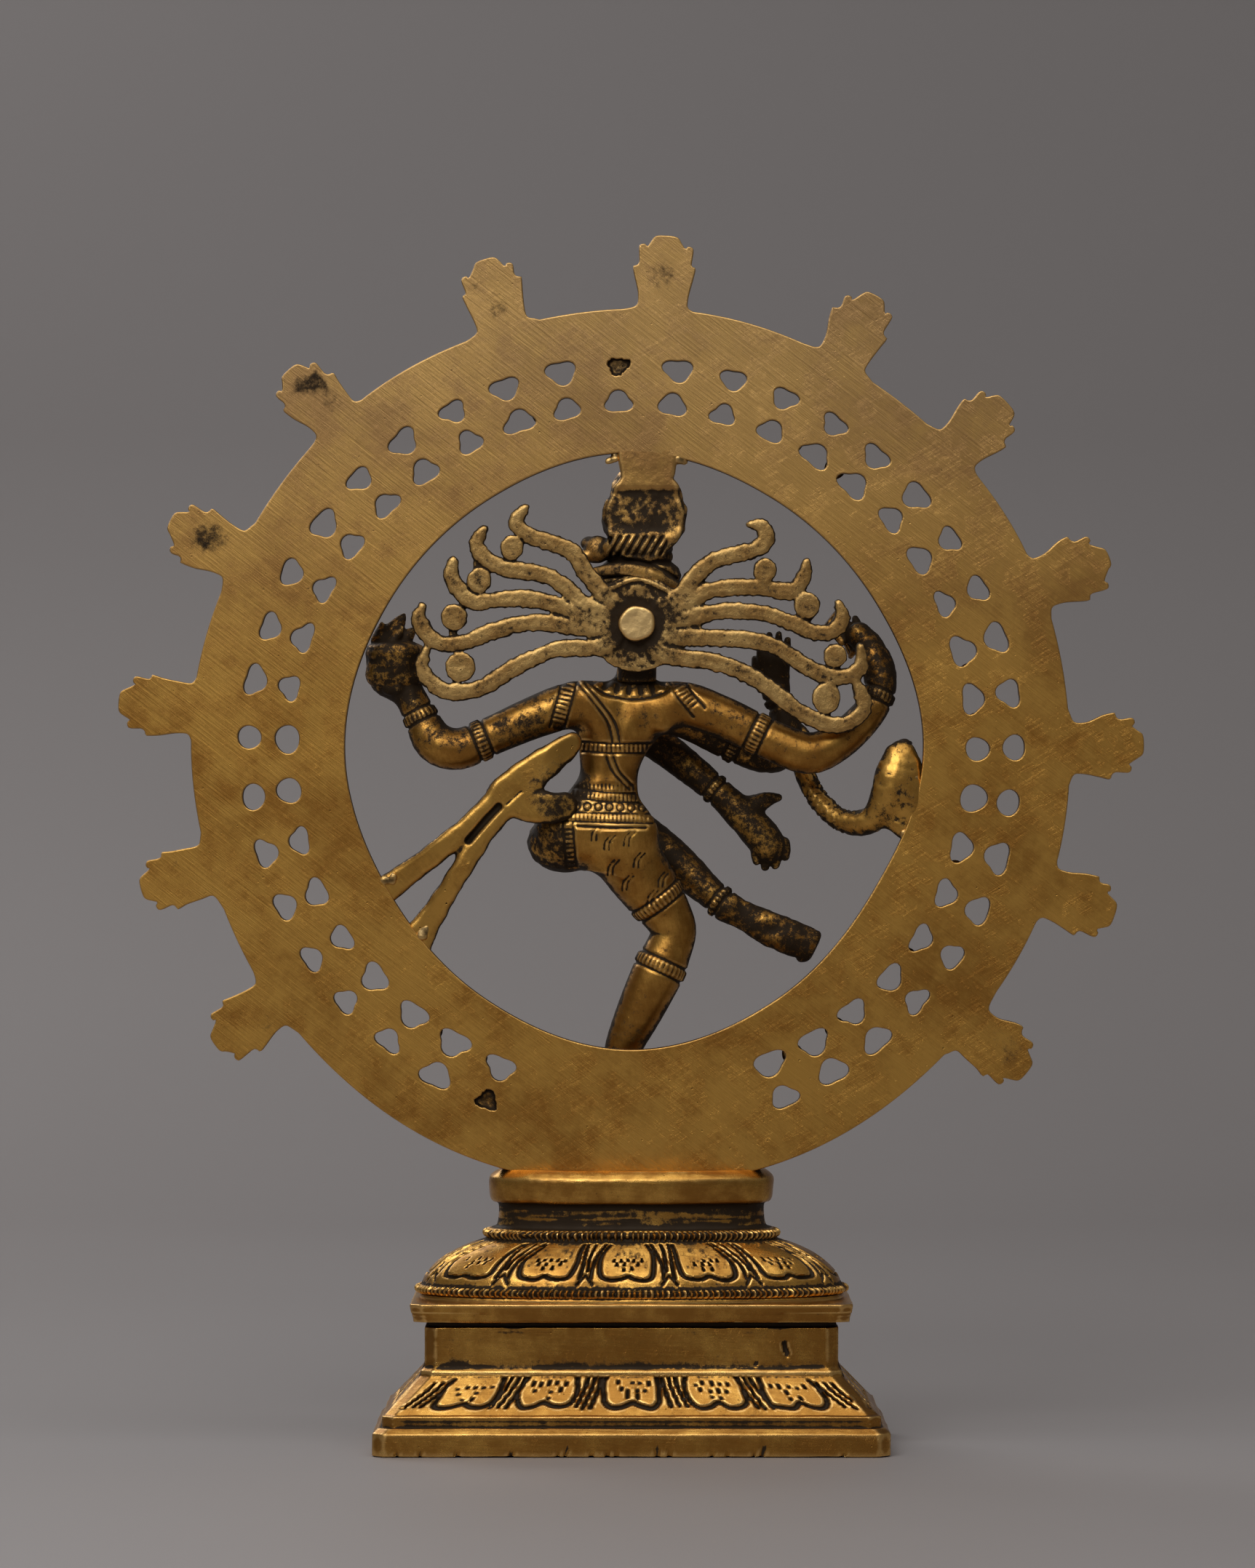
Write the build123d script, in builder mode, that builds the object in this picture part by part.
from build123d import *
import math
import os

# Brass nataraja: a dancer in a flat ring of flames on a stepped lotus pedestal.
# Millimetres. Origin at the centre of the pedestal's foot, +Z up, the dancer faces -Y.

# Pedestal, lower casting
slab_length = 142.0
slab_depth = 72.0
slab_height = 7.5
slab_bevel = 1.5
corner_cut = 3.0
step_length = 137.0
step_depth = 67.0
step_top = 11.0
skirt_top = 21.0
skirt_top_length = 116.0
skirt_top_depth = 51.0
moulding_top = 22.5
dado_length = 114.0
dado_depth = 49.0
dado_top = 34.0
recess_top = 36.0
cornice_length = 122.0
cornice_depth = 56.0
cornice_thin = 1.8
plinth_top = 41.0
wall = 4.0

# Pedestal, upper casting
oval_power = 2.6
# Upper casting's ovals as (height, half length, half depth): rim, bead, lotus dome, bead, neck, disc
lotus_sections = [
    (41.0, 59.0, 26.6), (42.2, 59.0, 26.6), (42.6, 60.1, 27.3), (43.6, 60.5, 27.6), (44.6, 60.1, 27.3),
    (45.0, 58.5, 26.5), (47.5, 57.4, 25.8), (49.8, 55.4, 24.6), (52.0, 52.8, 23.2), (54.0, 49.4, 21.6),
    (55.8, 45.4, 20.0), (57.2, 41.0, 18.3), (57.8, 40.1, 17.8), (58.2, 40.8, 18.4), (59.1, 41.1, 18.6),
    (60.0, 40.8, 18.3), (60.4, 39.2, 17.2), (62.0, 37.8, 16.3), (64.0, 37.0, 16.0), (66.0, 37.4, 16.5),
    (67.6, 38.3, 17.3), (69.2, 39.3, 18.5), (71.5, 39.7, 19.0), (74.2, 39.7, 19.0), (76.0, 39.2, 18.6), (77.0, 38.2, 17.8),
]
cavity_sections = [(41.0, 54.6, 22.6), (48.0, 51.0, 20.2), (52.4, 44.0, 16.6), (54.0, 33.6, 12.6), (68.0, 33.4, 12.4)]
disc_top = 77.0
disc_bottom = 68.0

# Fixings hidden in the pedestal
screw_spacing = 50.0
screw_radius = 2.0
screw_hole_radius = 2.15
screw_head_radius = 3.6
screw_head_height = 3.2
screw_tip = 56.0
washer_radius = 4.6
washer_thickness = 0.8
boss_radius = 5.0

# Ring of flames
ring_z = 194.0
ring_back = 9.5
ring_thickness = 5.0
ring_radius = 122.3
ring_relief = 1.4
rim_band = 4.0
opening_points = [
    (0, 82.0), (30, 79.6), (60, 79.0), (90, 81.0), (120, 78.0), (150, 80.6),
    (180, 83.8), (210, 80.6), (240, 78.2), (270, 79.6), (300, 78.6), (330, 79.6),
]
# Pairs of holes along two runs that meet near the top, as (first angle, step, count)
hole_runs = [(-157.8, 8.66, 19), (7.0, 8.3, 19)]
hole_inner_row = 95.9
hole_outer_row = 105.9
hole_size = 4.7
hole_corner = 1.2
flame_angles = [129.5, 109.0, 90.0, 68.0, 47.5, 28.5, 4.0, -17.0, -42.0, -64.0, -85.0, -106.0, -125.5]
flame_outline = [
    (-6.4, -2.0), (-6.3, 2.5), (-7.4, 8.0), (-8.3, 13.0), (-7.2, 13.8), (-7.2, 17.6), (-5.6, 18.6),
    (-4.8, 17.6), (-3.4, 21.0), (-0.8, 22.0), (1.4, 21.9), (3.6, 20.6), (4.8, 18.0), (6.4, 18.6),
    (7.4, 16.8), (7.2, 14.0), (8.4, 12.6), (7.4, 8.0), (6.3, 2.5), (6.4, -2.0),
]
slot_clearance = 0.1
slot_floor = 71.4
tenon_width = 12.0
tenon_spacing = 30.0
tenon_foot = 62.0
pin_radius = 1.2
pin_z = 65.6
pin_length = 9.6

# Dancer
foot_rivet_radius = 1.6
foot_rivet_place = (1.0, -9.0)
foot_rivet_foot = 72.5
foot_rivet_top = 97.5
sole_z = 94.6
head_place = (-1.5, -0.2, 228.0)
fan_hub = (-1.5, 228.5)
fan_front = 8.5
fan_thickness = 3.0
hub_radius = 13.2
lock_width = 4.2
rivet_shank_radius = 2.0
rivet_head_radius = 5.0
rivet_head_height = 2.0

# Locks of hair as (x, z) points from the head outwards, seen from the front
locks = [
    [(7, 236), (13, 243), (16, 248), (21, 250.5), (26, 252), (30, 254), (32, 257), (29.5, 260.5)],
    [(12, 233), (19, 239), (24, 242), (30, 243), (36, 244), (41, 247), (43, 251), (41, 254.5)],
    [(12, 230), (22, 234), (30, 235.5), (38, 235), (44, 234.5), (48, 238), (50, 242), (49.5, 246)],
    [(11, 227), (22, 228.5), (30, 228.5), (38, 226.5), (46, 223.5), (53, 223), (57, 226), (59, 230), (58, 233)],
    [(9, 222), (20, 221.5), (27, 219), (34, 215.5), (41, 211), (48, 209.5), (54, 211), (58, 216), (57, 221)],
    [(-13, 236), (-18, 242), (-22, 245.5), (-28, 247.5), (-33.5, 248.8), (-37.2, 251.4), (-36.6, 255.2), (-33.2, 256)],
    [(-12, 233), (-20, 237), (-27, 238.5), (-35, 238.5), (-43, 237.5), (-46, 238.5), (-48, 242), (-48.5, 245.5)],
    [(-13, 229.5), (-22, 231.5), (-30, 232), (-38, 231), (-45, 228.5), (-51, 226), (-56, 226.5), (-58.5, 230), (-57.5, 234)],
    [(-11, 225), (-22, 224.5), (-32, 224), (-40, 222), (-47, 217.5), (-54, 214), (-60, 214), (-63.5, 216.5), (-63.5, 222)],
    [(-9, 220), (-22, 218), (-31, 215), (-39, 210), (-46, 204.5), (-53, 201), (-59, 200.5), (-64, 204), (-64, 208), (-62, 213)],
]
# Flower discs as (x, z, radius, x and z of the lock each is linked to)
flower_discs = [
    (33.2, 249.5, 3.2, 28.5, 253.4), (42.2, 240.5, 3.4, 42.5, 234.6), (49.2, 230.2, 3.6, 47.5, 223.6),
    (47.5, 216.5, 4.2, 46.5, 209.8), (-37.0, 243.2, 3.3, -35.5, 238.5), (-49.6, 232.4, 3.8, -50.5, 226.2),
    (-56.5, 219.6, 3.3, -57.5, 213.8), (-54.0, 207.8, 4.0, -55.0, 200.9),
]
link_width = 2.6


def oval(z, half_length, half_depth):
    """Oval outline on the plane at height z."""
    points = []
    for step in range(24):
        turn = math.tau * step / 24
        across = math.copysign(abs(math.cos(turn)) ** (2 / oval_power), math.cos(turn))
        deep = math.copysign(abs(math.sin(turn)) ** (2 / oval_power), math.sin(turn))
        points.append((half_length * across, half_depth * deep))
    with BuildSketch(Plane.XY.offset(z)) as outline:
        with BuildLine():
            Spline(*points, periodic=True)
        make_face()
    return outline.sketch


def cut_corner_rectangle(z, length, depth, cut):
    """Rectangle with small cut corners on the plane at height z."""
    with BuildSketch(Plane.XY.offset(z)) as outline:
        Rectangle(length, depth)
        chamfer(outline.vertices(), cut)
    return outline.sketch


def rounded_run(stations):
    """The stations with one more between each two, on a curve through them all."""
    run = [stations[0]]
    for index in range(len(stations) - 1):
        before = stations[max(index - 1, 0)]
        after = stations[min(index + 2, len(stations) - 1)]
        middle = [
            (9 * (near + far) - first - last) / 16
            for first, near, far, last in zip(before, stations[index], stations[index + 1], after)
        ]
        run += [tuple(middle), stations[index + 1]]
    return run


def limb(stations):
    """Limb through (x, y, z, radius) stations, its round sections square to its run."""
    run = rounded_run(stations)
    sections = []
    for index, (x, y, z, radius) in enumerate(run):
        before = run[max(index - 1, 0)]
        after = run[min(index + 1, len(run) - 1)]
        forward = Vector(after[0] - before[0], after[1] - before[1], after[2] - before[2])
        across = Vector(0, 1, 0).cross(forward)
        with BuildSketch(Plane(origin=(x, y, z), x_dir=across, z_dir=forward)) as section:
            Circle(radius)
        sections.append(section.sketch)
    return loft(sections, ruled=True)


def body_sections(stations):
    """Level elliptical sections at (x, y, z, half width, half depth) stations."""
    sections = []
    for x, y, z, half_width, half_depth in stations:
        with BuildSketch(Plane(origin=(x, y, z))) as section:
            Ellipse(half_width, half_depth)
        sections.append(section.sketch)
    return sections


def clock_point(angle, radius):
    """Point on the ring's face, with the angle in degrees anticlockwise from the top as the front shows it."""
    turn = math.radians(angle)
    return (-radius * math.sin(turn), radius * math.cos(turn))


# Front planes: local x is +X, local y is +Z
ring_face = Plane(origin=(0, ring_back, ring_z), x_dir=(1, 0, 0), z_dir=(0, -1, 0))
fan_face = Plane(origin=(0, fan_front + fan_thickness, 0), x_dir=(1, 0, 0), z_dir=(0, -1, 0))

# Lower casting: slab, petal skirt, dado and cornice over a hollow
with BuildPart() as plinth:
    with BuildSketch() as slab_outline:
        Rectangle(slab_length, slab_depth)
        chamfer(slab_outline.vertices(), corner_cut)
    extrude(amount=slab_height)
    chamfer(plinth.faces().sort_by(Axis.Z)[-1].edges(), slab_bevel)
    extrude(cut_corner_rectangle(slab_height, step_length, step_depth, corner_cut), amount=step_top - slab_height)
    loft([
        cut_corner_rectangle(step_top, step_length, step_depth, corner_cut),
        cut_corner_rectangle(skirt_top, skirt_top_length, skirt_top_depth, corner_cut),
    ])
    extrude(
        cut_corner_rectangle(skirt_top, skirt_top_length + 1.4, skirt_top_depth + 1.4, corner_cut),
        amount=moulding_top - skirt_top,
    )
    extrude(cut_corner_rectangle(moulding_top, dado_length, dado_depth, corner_cut), amount=dado_top - moulding_top)
    extrude(
        cut_corner_rectangle(dado_top, dado_length - 3, dado_depth - 3, corner_cut),
        amount=(recess_top + plinth_top) / 2 - dado_top,
    )
    # Cornice, its underside filed thinner towards the ends
    with BuildSketch(Plane.XZ.offset(-cornice_depth / 2)):
        with BuildLine():
            Line((-cornice_length / 2, recess_top + cornice_thin), (-cornice_length / 2, plinth_top))
            Line((-cornice_length / 2, plinth_top), (cornice_length / 2, plinth_top))
            Line((cornice_length / 2, plinth_top), (cornice_length / 2, recess_top + cornice_thin))
            ThreePointArc((cornice_length / 2, recess_top + cornice_thin), (0, recess_top), (-cornice_length / 2, recess_top + cornice_thin))
        make_face()
    extrude(amount=cornice_depth)
    # Hollow underside
    extrude(
        cut_corner_rectangle(0, slab_length - 2 * wall - 4, slab_depth - 2 * wall - 4, corner_cut),
        amount=step_top, mode=Mode.SUBTRACT,
    )
    loft([
        cut_corner_rectangle(step_top, step_length - 2 * wall, step_depth - 2 * wall, corner_cut),
        cut_corner_rectangle(skirt_top, skirt_top_length - 2 * wall, skirt_top_depth - 2 * wall, corner_cut),
    ], mode=Mode.SUBTRACT)
    extrude(
        cut_corner_rectangle(skirt_top, dado_length - 2 * wall, dado_depth - 2 * wall, corner_cut),
        amount=recess_top - skirt_top, mode=Mode.SUBTRACT,
    )
    # Screw holes through the top plate
    with BuildSketch(Plane.XY.offset(recess_top)):
        with GridLocations(screw_spacing, 0, 2, 1):
            Circle(screw_hole_radius)
    extrude(amount=plinth_top - recess_top, mode=Mode.SUBTRACT)
plinth.part.label = "plinth"

# Upper casting: bead mouldings, lotus dome, neck and top disc
with BuildPart() as lotus_pedestal:
    loft([oval(*section) for section in lotus_sections], ruled=True)
    # Hollow underside
    loft([oval(*section) for section in cavity_sections], ruled=True, mode=Mode.SUBTRACT)
    # Screw bosses
    with BuildSketch(Plane.XY.offset(plinth_top)):
        with GridLocations(screw_spacing, 0, 2, 1):
            Circle(boss_radius)
    extrude(amount=disc_bottom - plinth_top)
    with BuildSketch(Plane.XY.offset(plinth_top)):
        with GridLocations(screw_spacing, 0, 2, 1):
            Circle(screw_radius)
    extrude(amount=screw_tip + 1 - plinth_top, mode=Mode.SUBTRACT)
    # Slot for the ring's rim, with two mortises through the disc
    with BuildSketch(Plane.XY.offset(slot_floor)):
        with Locations((0, ring_back - ring_thickness / 2)):
            Rectangle(73.0, ring_thickness + 2 * slot_clearance)
    extrude(amount=disc_top - slot_floor, mode=Mode.SUBTRACT)
    with BuildSketch(Plane.XY.offset(disc_bottom)):
        with Locations((0, ring_back - ring_thickness / 2)):
            with GridLocations(tenon_spacing, 0, 2, 1):
                Rectangle(tenon_width + 2 * slot_clearance, ring_thickness + 2 * slot_clearance)
    extrude(amount=slot_floor - disc_bottom, mode=Mode.SUBTRACT)
    # Socket for the foot rivet
    with BuildSketch(Plane.XY.offset(foot_rivet_foot)):
        with Locations(foot_rivet_place):
            Circle(foot_rivet_radius)
    extrude(amount=disc_top - foot_rivet_foot, mode=Mode.SUBTRACT)
lotus_pedestal.part.label = "lotus_pedestal"

with BuildPart() as pedestal_screws:
    with BuildSketch(Plane.XY.offset(recess_top - washer_thickness - screw_head_height)):
        with GridLocations(screw_spacing, 0, 2, 1):
            Circle(screw_head_radius)
    extrude(amount=screw_head_height)
    fillet(pedestal_screws.faces().sort_by(Axis.Z)[0:2].edges(), 0.8)
    with BuildSketch(Plane.XY.offset(recess_top - washer_thickness)):
        with GridLocations(screw_spacing, 0, 2, 1):
            Circle(screw_radius)
    extrude(amount=screw_tip - recess_top + washer_thickness)
    with BuildSketch(Plane.XY.offset(recess_top - washer_thickness - screw_head_height)):
        with GridLocations(screw_spacing, 0, 2, 1):
            Rectangle(2 * screw_head_radius, 1.0)
    extrude(amount=1.2, mode=Mode.SUBTRACT)
pedestal_screws.part.label = "pedestal_screws"

with BuildPart() as pedestal_washers:
    with BuildSketch(Plane.XY.offset(recess_top - washer_thickness)):
        with GridLocations(screw_spacing, 0, 2, 1):
            Circle(washer_radius)
            Circle(screw_hole_radius, mode=Mode.SUBTRACT)
    extrude(amount=washer_thickness)
pedestal_washers.part.label = "pedestal_washers"

# One rounded triangular hole, its point towards local +Y
with BuildSketch() as hole_outline:
    RegularPolygon(radius=hole_size, side_count=3, rotation=90)
    fillet(hole_outline.vertices(), hole_corner)

# Pierced ring with its flames and two tenons
with BuildPart() as flame_ring:
    with BuildSketch(ring_face):
        Circle(ring_radius)
        for angle in flame_angles:
            with Locations(Location((*clock_point(angle, ring_radius - 1.5), 0), (0, 0, angle))):
                Polygon(*flame_outline, align=None)
        with Locations((0, (slot_floor + tenon_foot) / 2 - ring_z + 2.0)):
            with GridLocations(tenon_spacing, 0, 2, 1):
                Rectangle(tenon_width, slot_floor - tenon_foot + 4.0)
        with BuildLine():
            Spline(*[clock_point(angle, radius) for angle, radius in opening_points], periodic=True)
        make_face(mode=Mode.SUBTRACT)
        for angle in [first + step * index for first, step, count in hole_runs for index in range(count)]:
            with Locations(Location((*clock_point(angle, hole_inner_row), 0), (0, 0, angle))):
                add(hole_outline.sketch, mode=Mode.SUBTRACT)
            with Locations(Location((*clock_point(angle, hole_outer_row), 0), (0, 0, angle + 180))):
                add(hole_outline.sketch, mode=Mode.SUBTRACT)
    extrude(amount=ring_thickness)
    # Raised rims on the front face
    with BuildSketch(ring_face.offset(ring_thickness)):
        Circle(ring_radius - 0.6)
        Circle(ring_radius - rim_band, mode=Mode.SUBTRACT)
        with Locations((0, disc_top - ring_z - 25.0)):
            Rectangle(120.0, 50.2, mode=Mode.SUBTRACT)
    extrude(amount=ring_relief)
    with BuildSketch(ring_face.offset(ring_thickness)):
        with BuildLine():
            Spline(*[clock_point(angle, radius + rim_band) for angle, radius in opening_points], periodic=True)
        make_face()
        with BuildLine():
            Spline(*[clock_point(angle, radius + 0.6) for angle, radius in opening_points], periodic=True)
        make_face(mode=Mode.SUBTRACT)
    extrude(amount=ring_relief)
    # Cross holes for the pins under the disc
    with BuildSketch(Plane.XZ.offset(-ring_back)):
        with Locations((0, pin_z)):
            with GridLocations(tenon_spacing, 0, 2, 1):
                Circle(pin_radius)
    extrude(amount=ring_thickness, mode=Mode.SUBTRACT)
flame_ring.part.label = "flame_ring"

with BuildPart() as ring_pins:
    with BuildSketch(Plane.XZ.offset(-ring_back - 2.2)):
        with Locations((0, pin_z)):
            with GridLocations(tenon_spacing, 0, 2, 1):
                Circle(pin_radius)
    extrude(amount=pin_length)
ring_pins.part.label = "ring_pins"

# Planted foot, its sole flat with a socket for the foot rivet
with BuildPart() as planted_foot:
    limb([
        (4.4, 0.4, 98.6, 2.8),
        (4.2, -1.6, 98.8, 4.4),
        (3.2, -6.0, 99.4, 4.8),
        (1.6, -11.0, 98.4, 4.6),
        (-0.6, -17.0, 97.2, 4.2),
        (-2.0, -21.5, 96.6, 3.2),
        (-2.8, -24.0, 96.3, 1.6),
    ])
    with Locations((0, 0, sole_z)):
        Box(60, 80, 20, align=(Align.CENTER, Align.CENTER, Align.MAX), mode=Mode.SUBTRACT)
    with Locations((*foot_rivet_place, foot_rivet_top)):
        Cylinder(foot_rivet_radius, 10, align=(Align.CENTER, Align.CENTER, Align.MAX), mode=Mode.SUBTRACT)

# Torso, head, hips and standing leg in one casting
with BuildPart() as dancer_body:
    loft(body_sections([
        (5.5, -1.5, 160.5, 7.5, 6.0),
        (7.0, -1.0, 166.0, 11.5, 8.5),
        (9.0, -1.0, 174.0, 12.3, 9.0),
        (8.2, -1.0, 181.0, 9.8, 7.8),
        (6.2, -1.0, 187.0, 8.3, 7.0),
        (5.0, -1.0, 193.0, 9.8, 7.8),
        (2.6, -1.0, 199.0, 12.4, 8.6),
        (1.0, -1.0, 205.0, 12.2, 7.8),
        (0.0, -1.0, 210.0, 7.6, 6.2),
        (-0.7, -1.0, 215.0, 5.0, 5.2),
        (-1.2, -1.0, 221.0, 5.0, 5.2),
    ]))
    # Girdle
    loft(body_sections([
        (9.0, -1.0, 172.6, 13.0, 9.6),
        (9.0, -1.0, 176.0, 13.2, 9.8),
        (8.4, -1.0, 180.8, 11.4, 9.0),
    ]))
    # Standing leg
    limb([
        (4.0, -1.5, 170.0, 9.6),
        (0.0, -2.2, 162.0, 9.3),
        (-5.5, -3.4, 154.0, 8.5),
        (-10.0, -4.2, 147.5, 7.2),
        (-11.6, -4.6, 143.0, 6.4),
        (-10.0, -4.5, 137.0, 6.9),
        (-7.5, -4.2, 131.5, 7.1),
        (-2.5, -4.2, 121.0, 6.4),
        (2.0, -4.2, 111.0, 5.2),
        (3.5, -4.2, 104.0, 4.9),
        (4.0, -3.8, 100.0, 4.7),
    ])
    add(planted_foot.part)
    # Head
    with BuildSketch(Plane(origin=head_place, x_dir=(1, 0, 0), z_dir=(0, -1, 0))):
        with BuildLine():
            Spline((0, -12.0), (4.4, -10.2), (7.4, -5.6), (9.1, 1.0), (8.3, 7.5), (5.0, 11.2), (0, 12.2), tangents=[(1, 0), (-1, 0)])
            Line((0, 12.2), (0, -12.0))
        make_face()
    revolve(axis=Axis(head_place, (0, 0, 1)))
    # Flat seat for the hair fan's hub
    with Locations((head_place[0], fan_front, head_place[2])):
        Box(20, 10, 20, align=(Align.CENTER, Align.MIN, Align.CENTER), mode=Mode.SUBTRACT)
    # Nose, ears and ear pendants
    with BuildSketch(Plane(origin=(head_place[0], head_place[1] - 8.2, head_place[2] - 3.4))):
        Ellipse(1.7, 2.4)
    with BuildSketch(Plane(origin=(head_place[0], head_place[1] - 8.2, head_place[2] + 3.2))):
        Ellipse(0.8, 0.9)
    loft()
    with Locations((head_place[0] - 8.6, head_place[1] + 0.4, head_place[2]), (head_place[0] + 8.6, head_place[1] + 0.4, head_place[2])):
        Cylinder(2.6, 2.0, rotation=(0, 90, 0))
    with Locations((head_place[0] - 9.2, head_place[1] - 0.2, head_place[2] - 6.0), (head_place[0] + 9.2, head_place[1] - 0.2, head_place[2] - 6.0)):
        Sphere(2.9)
    # Rivet hole in the back of the head
    with BuildSketch(Plane.XZ.offset(-20.0)):
        with Locations(fan_hub):
            Circle(rivet_shank_radius)
    extrude(amount=18.0, mode=Mode.SUBTRACT)
dancer_body.part.label = "dancer_body"

# Raised leg: thigh forward from the left hip, shin across to the right, toes out
with BuildPart() as raised_leg:
    with Locations((19.0, -4.5, 168.8)):
        Sphere(9.4)
    limb([
        (18.6, -6.0, 169.4, 9.0),
        (16.6, -12.0, 171.8, 8.7),
        (13.4, -18.6, 174.8, 7.9),
        (10.0, -24.6, 177.4, 6.6),
    ])
    with Locations((8.8, -25.0, 177.2)):
        Sphere(6.9)
    limb([
        (7.6, -25.2, 176.4, 6.5),
        (-2.0, -23.0, 170.2, 6.1),
        (-12.0, -20.0, 162.4, 5.6),
        (-21.0, -16.8, 154.4, 4.4),
        (-28.0, -14.6, 148.8, 3.6),
        (-33.0, -14.0, 146.2, 4.2),
        (-40.0, -14.0, 143.2, 4.6),
        (-47.0, -14.4, 141.0, 3.6),
        (-51.0, -14.6, 140.2, 1.8),
    ])
    add(dancer_body.part, mode=Mode.SUBTRACT)
raised_leg.part.label = "raised_leg"

with BuildPart() as rear_arm_left:
    limb([
        (8.0, 0.4, 206.6, 6.2),
        (16.0, 1.2, 206.8, 6.5),
        (27.0, 2.0, 203.0, 6.0),
        (39.0, 2.8, 197.6, 5.5),
        (48.0, 3.0, 193.8, 5.9),
        (54.6, 2.6, 195.4, 6.0),
        (58.4, 1.4, 202.0, 5.0),
        (61.6, 0.6, 208.6, 4.2),
        (65.2, 0.0, 213.0, 4.8),
        (66.4, 0.0, 217.0, 4.4),
    ])
    # Armlet and bracelet
    limb([(40.6, 2.8, 197.0, 6.4), (43.6, 2.9, 195.6, 6.4)])
    limb([(58.2, 1.4, 201.4, 5.8), (59.6, 1.1, 204.3, 5.6)])
    add(dancer_body.part, mode=Mode.SUBTRACT)
rear_arm_left.part.label = "rear_arm_left"

with BuildPart() as rear_arm_right:
    limb([
        (-8.0, 0.4, 206.4, 6.0),
        (-15.0, 1.2, 206.8, 6.3),
        (-26.0, 2.0, 202.6, 5.8),
        (-38.0, 2.8, 196.6, 5.6),
        (-49.0, 3.0, 192.6, 5.8),
        (-57.0, 2.4, 195.4, 5.2),
        (-64.4, 1.0, 201.8, 4.8),
        (-68.6, 0.0, 208.0, 4.6),
        (-69.8, -0.8, 215.0, 4.4),
        (-66.8, -2.0, 222.4, 4.0),
        (-62.6, -2.8, 227.2, 3.2),
        (-60.6, -3.0, 229.0, 1.6),
    ])
    limb([(-34.0, 2.6, 198.6, 6.4), (-37.2, 2.8, 197.0, 6.4)])
    limb([(-68.2, 0.2, 207.0, 5.5), (-69.3, -0.2, 210.0, 5.4)])
    add(dancer_body.part, mode=Mode.SUBTRACT)
rear_arm_right.part.label = "rear_arm_right"

# Front right arm, its hand raised with the palm forward
with BuildPart() as front_arm_right:
    limb([
        (-6.0, -3.0, 204.0, 5.2),
        (-14.0, -8.6, 202.4, 5.3),
        (-24.0, -11.4, 197.6, 5.1),
        (-35.0, -12.4, 192.6, 5.0),
        (-41.6, -13.6, 192.6, 4.9),
        (-43.6, -15.4, 198.4, 4.5),
        (-42.4, -17.4, 205.0, 3.9),
        (-40.8, -18.0, 209.6, 3.8),
        (-40.2, -18.2, 214.0, 4.6),
        (-40.2, -18.2, 218.0, 4.2),
    ])
    limb([(-42.0, -17.2, 204.6, 4.9), (-41.2, -17.9, 207.4, 4.8)])
    with Locations((-43.4, -18.2, 217.0), (-41.2, -18.2, 217.4), (-39.0, -18.2, 217.4), (-36.9, -18.2, 216.6)):
        Cylinder(1.25, 8.2, align=(Align.CENTER, Align.CENTER, Align.MIN))
    with Locations((-43.4, -18.2, 225.2), (-41.2, -18.2, 225.6), (-39.0, -18.2, 225.6), (-36.9, -18.2, 224.8)):
        Sphere(1.3)
    limb([(-37.8, -18.4, 212.0, 1.6), (-35.6, -19.0, 216.0, 1.4), (-35.0, -19.6, 219.4, 0.9)])
    add(dancer_body.part, mode=Mode.SUBTRACT)
    add(rear_arm_right.part, mode=Mode.SUBTRACT)
front_arm_right.part.label = "front_arm_right"

# Front left arm, thrown across the chest with the hand hanging over the raised foot
with BuildPart() as front_arm_left:
    limb([
        (9.0, -4.0, 205.6, 5.2),
        (11.0, -9.0, 205.0, 5.5),
        (8.6, -14.6, 203.8, 5.3),
        (2.0, -18.0, 201.4, 5.1),
        (-7.0, -19.0, 198.0, 4.9),
        (-18.0, -17.6, 191.0, 4.7),
        (-29.0, -15.4, 182.6, 4.3),
        (-35.0, -14.6, 176.0, 3.8),
        (-38.4, -14.2, 170.6, 4.0),
        (-39.8, -14.0, 166.6, 3.4),
    ])
    limb([(-30.6, -15.2, 181.4, 5.2), (-32.6, -14.9, 179.2, 5.1)])
    with Locations((-37.6, -14.0, 161.6), (-39.8, -14.2, 160.6), (-42.0, -14.0, 161.4)):
        Cylinder(1.2, 6.0, align=(Align.CENTER, Align.CENTER, Align.MIN))
    with Locations((-37.6, -14.0, 161.6), (-39.8, -14.2, 160.6), (-42.0, -14.0, 161.4)):
        Sphere(1.25)
    add(dancer_body.part, mode=Mode.SUBTRACT)
    add(rear_arm_left.part, mode=Mode.SUBTRACT)
    add(front_arm_right.part, mode=Mode.SUBTRACT)
    add(raised_leg.part, mode=Mode.SUBTRACT)
front_arm_left.part.label = "front_arm_left"

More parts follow.
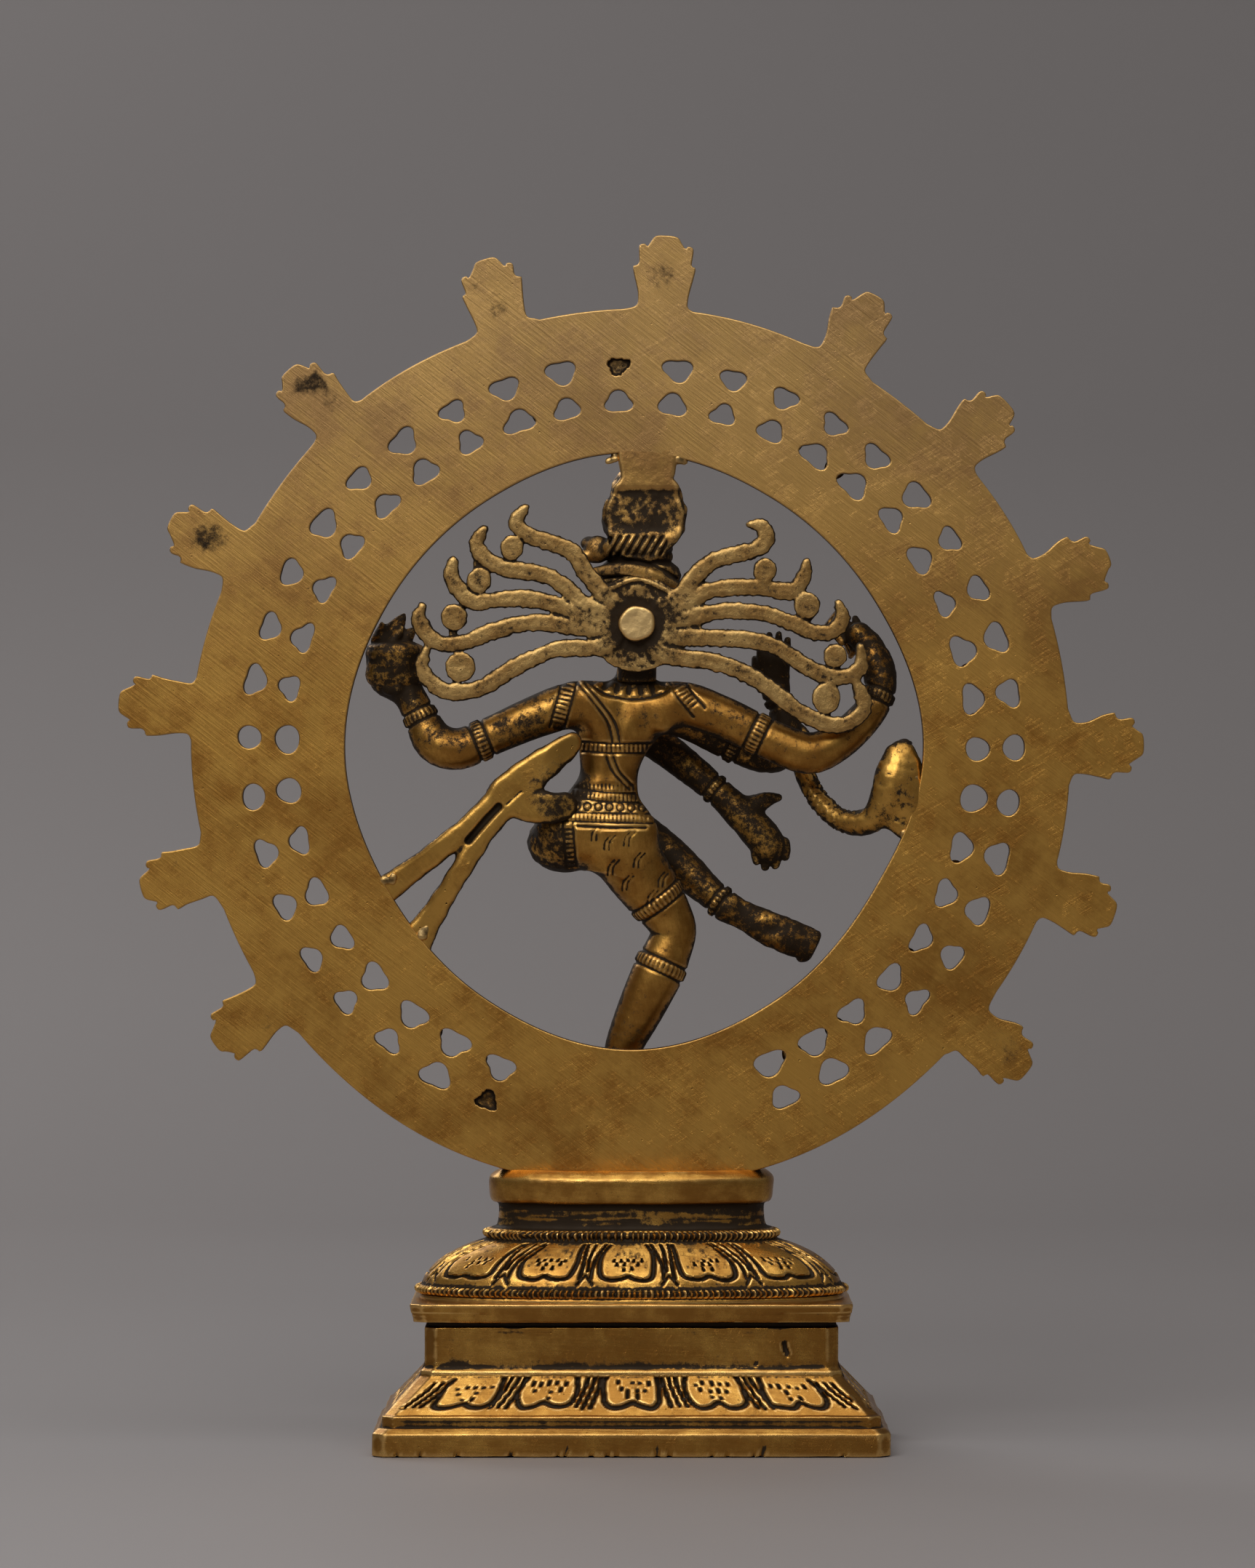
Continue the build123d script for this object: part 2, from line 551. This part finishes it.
# Prone dwarf on a low pad, head to the dancer's right
with BuildPart() as dwarf:
    with BuildSketch(Plane.XY.offset(disc_top)):
        with Locations((0, -7.0)):
            Ellipse(33.0, 9.4)
    extrude(amount=2.4)
    fillet(dwarf.faces().sort_by(Axis.Z)[-1].edges(), 0.8)
    limb([
        (24.0, -6.0, 84.0, 4.6),
        (17.0, -6.4, 86.0, 6.6),
        (8.0, -6.6, 87.8, 7.6),
        (-4.0, -6.8, 88.0, 7.8),
        (-13.0, -7.0, 88.2, 6.8),
        (-18.0, -7.4, 89.4, 4.2),
    ])
    with Locations((-23.6, -8.6, 89.6)):
        Sphere(6.0)
    limb([(20.0, -8.6, 84.4, 4.6), (26.0, -10.6, 83.0, 4.0), (31.0, -11.6, 81.4, 2.8)])
    limb([(20.0, -4.2, 84.0, 4.4), (27.0, -3.2, 82.6, 3.7), (32.6, -3.8, 81.2, 2.5)])
    limb([(-12.0, -11.0, 87.0, 3.6), (-16.0, -14.2, 83.0, 2.8), (-22.0, -14.4, 81.0, 2.3), (-27.0, -13.6, 81.0, 2.0)])
    limb([(-12.0, -3.0, 87.0, 3.4), (-17.0, -0.6, 83.6, 2.8), (-25.0, -1.6, 81.0, 2.2)])
    with Locations((0, 0, sole_z)):
        Box(28, 60, 10, align=(Align.CENTER, Align.CENTER, Align.MIN), mode=Mode.SUBTRACT)
    with Locations((*foot_rivet_place, disc_top)):
        Cylinder(foot_rivet_radius, 30, align=(Align.CENTER, Align.CENTER, Align.MIN), mode=Mode.SUBTRACT)
dwarf.part.label = "dwarf"

with BuildPart() as foot_rivet:
    with BuildSketch(Plane.XY.offset(foot_rivet_foot)):
        with Locations(foot_rivet_place):
            Circle(foot_rivet_radius)
    extrude(amount=foot_rivet_top - foot_rivet_foot)
foot_rivet.part.label = "foot_rivet"

# Flat casting of ten locks and eight flower discs round a hub
with BuildPart() as hair_fan:
    with BuildSketch(fan_face):
        with Locations(fan_hub):
            Circle(hub_radius)
        for lock in locks:
            with BuildLine():
                Spline(*lock)
            trace(line_width=lock_width)
            with Locations(lock[-1]):
                Circle(lock_width / 2 + 0.3)
        for x, z, radius, lock_x, lock_z in flower_discs:
            with Locations((x, z)):
                Circle(radius)
            with BuildLine():
                Line((x, z), (lock_x, lock_z))
            trace(line_width=link_width)
        with Locations(fan_hub):
            Circle(rivet_shank_radius, mode=Mode.SUBTRACT)
    extrude(amount=fan_thickness)
hair_fan.part.label = "hair_fan"

with BuildPart() as fan_rivet:
    with BuildSketch(Plane.XZ.offset(-fan_front - fan_thickness)):
        with Locations(fan_hub):
            Circle(rivet_shank_radius)
    extrude(amount=8.6)
    with BuildSketch(Plane.XZ.offset(-fan_front - fan_thickness)):
        with Locations(fan_hub):
            Circle(rivet_head_radius)
    extrude(amount=-rivet_head_height)
    fillet(fan_rivet.faces().sort_by(Axis.Y)[-1].edges(), 1.5)
fan_rivet.part.label = "fan_rivet"

# Tall crown with a back plate that runs into the ring
crown_axis = (-2.0, -1.0)
with BuildPart() as crown:
    with BuildSketch(Plane(origin=(*crown_axis, 0), x_dir=(1, 0, 0), z_dir=(0, -1, 0))):
        with BuildLine():
            Polyline(
                (0, 236.0), (9.2, 236.0), (10.4, 239.6), (11.8, 240.4), (11.8, 244.2), (10.6, 245.4), (8.6, 246.2),
                (8.8, 252.0), (10.4, 253.0), (11.6, 256.0), (11.4, 260.0), (9.6, 263.4), (8.0, 264.6), (7.6, 268.0),
                (5.6, 271.0), (2.4, 273.6), (0, 274.6), (0, 236.0),
            )
        make_face()
    revolve(axis=Axis((*crown_axis, 0), (0, 0, 1)))
    # Back plate and neck, flush with the ring's back
    with BuildSketch(Plane(origin=(0, ring_back, 0), x_dir=(1, 0, 0), z_dir=(0, -1, 0))):
        with BuildLine():
            Polyline(
                (8.0, 253.0), (-13.0, 253.0), (-15.6, 258.0), (-14.6, 263.0), (-12.6, 266.0), (-12.8, 277.5),
                (4.2, 277.5), (4.0, 266.0), (7.0, 263.0), (8.6, 258.0), (8.0, 253.0),
            )
        make_face()
    extrude(amount=6.0)
    # Side ornaments
    with Locations((9.0, 0.0, 249.0), (-13.0, 0.0, 249.0)):
        Sphere(4.2)
    add(dancer_body.part, mode=Mode.SUBTRACT)
    add(hair_fan.part, mode=Mode.SUBTRACT)
    add(flame_ring.part, mode=Mode.SUBTRACT)
crown.part.label = "crown"

# Bowl of fire in the rear left hand
with BuildPart() as flame_bowl:
    with BuildSketch(Plane(origin=(66.0, 0, 0), x_dir=(1, 0, 0), z_dir=(0, -1, 0))):
        with BuildLine():
            Polyline((0, 216.0), (3.0, 216.6), (5.6, 219.0), (6.4, 222.0), (5.4, 222.2), (0, 221.0), (0, 216.0))
        make_face()
    revolve(axis=Axis((66.0, 0, 0), (0, 0, 1)))
    limb([(66.0, 0, 220.4, 5.0), (65.6, 0, 224.0, 4.4), (63.6, 0, 227.6, 2.8), (60.4, 0, 231.0, 0.6)])
    limb([(67.6, 0, 220.6, 2.6), (69.4, 0, 223.4, 1.8), (70.2, 0, 226.6, 0.5)])
    add(rear_arm_left.part, mode=Mode.SUBTRACT)
flame_bowl.part.label = "flame_bowl"

# Hourglass drum in the rear right hand
drum_place = Plane(origin=(-59.5, -6.6, 226.0), x_dir=(0.8, 0, 0.6), z_dir=(0, -1, 0))
with BuildPart() as drum:
    with BuildSketch(drum_place):
        with BuildLine():
            Polyline((-6.0, 0), (-6.0, 4.4), (-5.2, 4.6), (-4.6, 4.2), (0, 1.9), (4.6, 4.2), (5.2, 4.6), (6.0, 4.4), (6.0, 0), (-6.0, 0))
        make_face()
    revolve(axis=Axis((-59.5, -6.6, 226.0), (0.8, 0, 0.6)))
    add(rear_arm_right.part, mode=Mode.SUBTRACT)
drum.part.label = "drum"

# Cobra hanging from the front right forearm, its hood against the ring
with BuildPart() as cobra:
    limb([
        (-43.0, -20.6, 202.0, 1.6),
        (-48.6, -18.0, 197.0, 2.2),
        (-48.4, -11.0, 188.0, 2.6),
        (-53.0, -5.0, 178.6, 2.9),
        (-60.0, 0.4, 173.2, 3.1),
        (-68.0, 3.8, 174.0, 3.2),
        (-73.0, 5.8, 180.0, 3.6),
        (-75.6, 6.6, 187.0, 4.6),
        (-76.0, 6.4, 192.0, 3.4),
        (-75.2, 5.6, 195.0, 1.6),
    ])
    limb([(-70.0, 4.6, 176.0, 2.2), (-74.0, 6.0, 171.6, 2.2), (-79.4, 6.6, 168.6, 2.0)])
    add(flame_ring.part, mode=Mode.SUBTRACT)
    add(front_arm_right.part, mode=Mode.SUBTRACT)
    add(rear_arm_right.part, mode=Mode.SUBTRACT)
cobra.part.label = "cobra"

# Forked cloth end between the left hip and the ring
sash_runs = [
    ([(13.2, 198.4), (20, 194.4), (27, 189), (34, 181)], 7.0),
    ([(32, 183), (40, 177), (50, 169), (60, 161.5), (72, 152.5)], 6.4),
    ([(33, 183), (38, 176), (46, 163), (53, 150), (60.5, 139.0)], 6.2),
    ([(35, 180), (27, 177.6), (20.5, 176.6)], 4.2),
]
with BuildPart() as sash:
    with BuildSketch(Plane(origin=(0, 8.6, 0), x_dir=(1, 0, 0), z_dir=(0, -1, 0))):
        for run, width in sash_runs:
            with BuildLine():
                Spline(*run)
            trace(line_width=width)
    extrude(amount=4.1)
    add(flame_ring.part, mode=Mode.SUBTRACT)
    add(dancer_body.part, mode=Mode.SUBTRACT)
    add(rear_arm_left.part, mode=Mode.SUBTRACT)
    add(raised_leg.part, mode=Mode.SUBTRACT)
sash.part.label = "sash"

# Solder where sash, cobra and crown meet the ring
with BuildPart() as braze_beads:
    with Locations((67.0, 8.6, 157.2), (57.6, 8.4, 142.6), (-78.6, 8.6, 186.0), (-76.8, 8.0, 170.0), (5.0, 8.6, 275.0), (-13.6, 8.6, 274.4)):
        Sphere(2.6)
    add(flame_ring.part, mode=Mode.SUBTRACT)
    add(sash.part, mode=Mode.SUBTRACT)
    add(cobra.part, mode=Mode.SUBTRACT)
    add(crown.part, mode=Mode.SUBTRACT)
braze_beads.part.label = "braze_beads"

statue_parts = [
    plinth.part, lotus_pedestal.part, pedestal_screws.part, pedestal_washers.part, flame_ring.part, ring_pins.part,
    dancer_body.part, raised_leg.part, rear_arm_left.part, rear_arm_right.part, front_arm_right.part,
    front_arm_left.part, dwarf.part, foot_rivet.part, hair_fan.part, fan_rivet.part, crown.part, flame_bowl.part,
    drum.part, cobra.part, sash.part, braze_beads.part,
]
os.makedirs("parts", exist_ok=True)
for piece in statue_parts:
    export_step(piece, f"parts/{piece.label}.step")
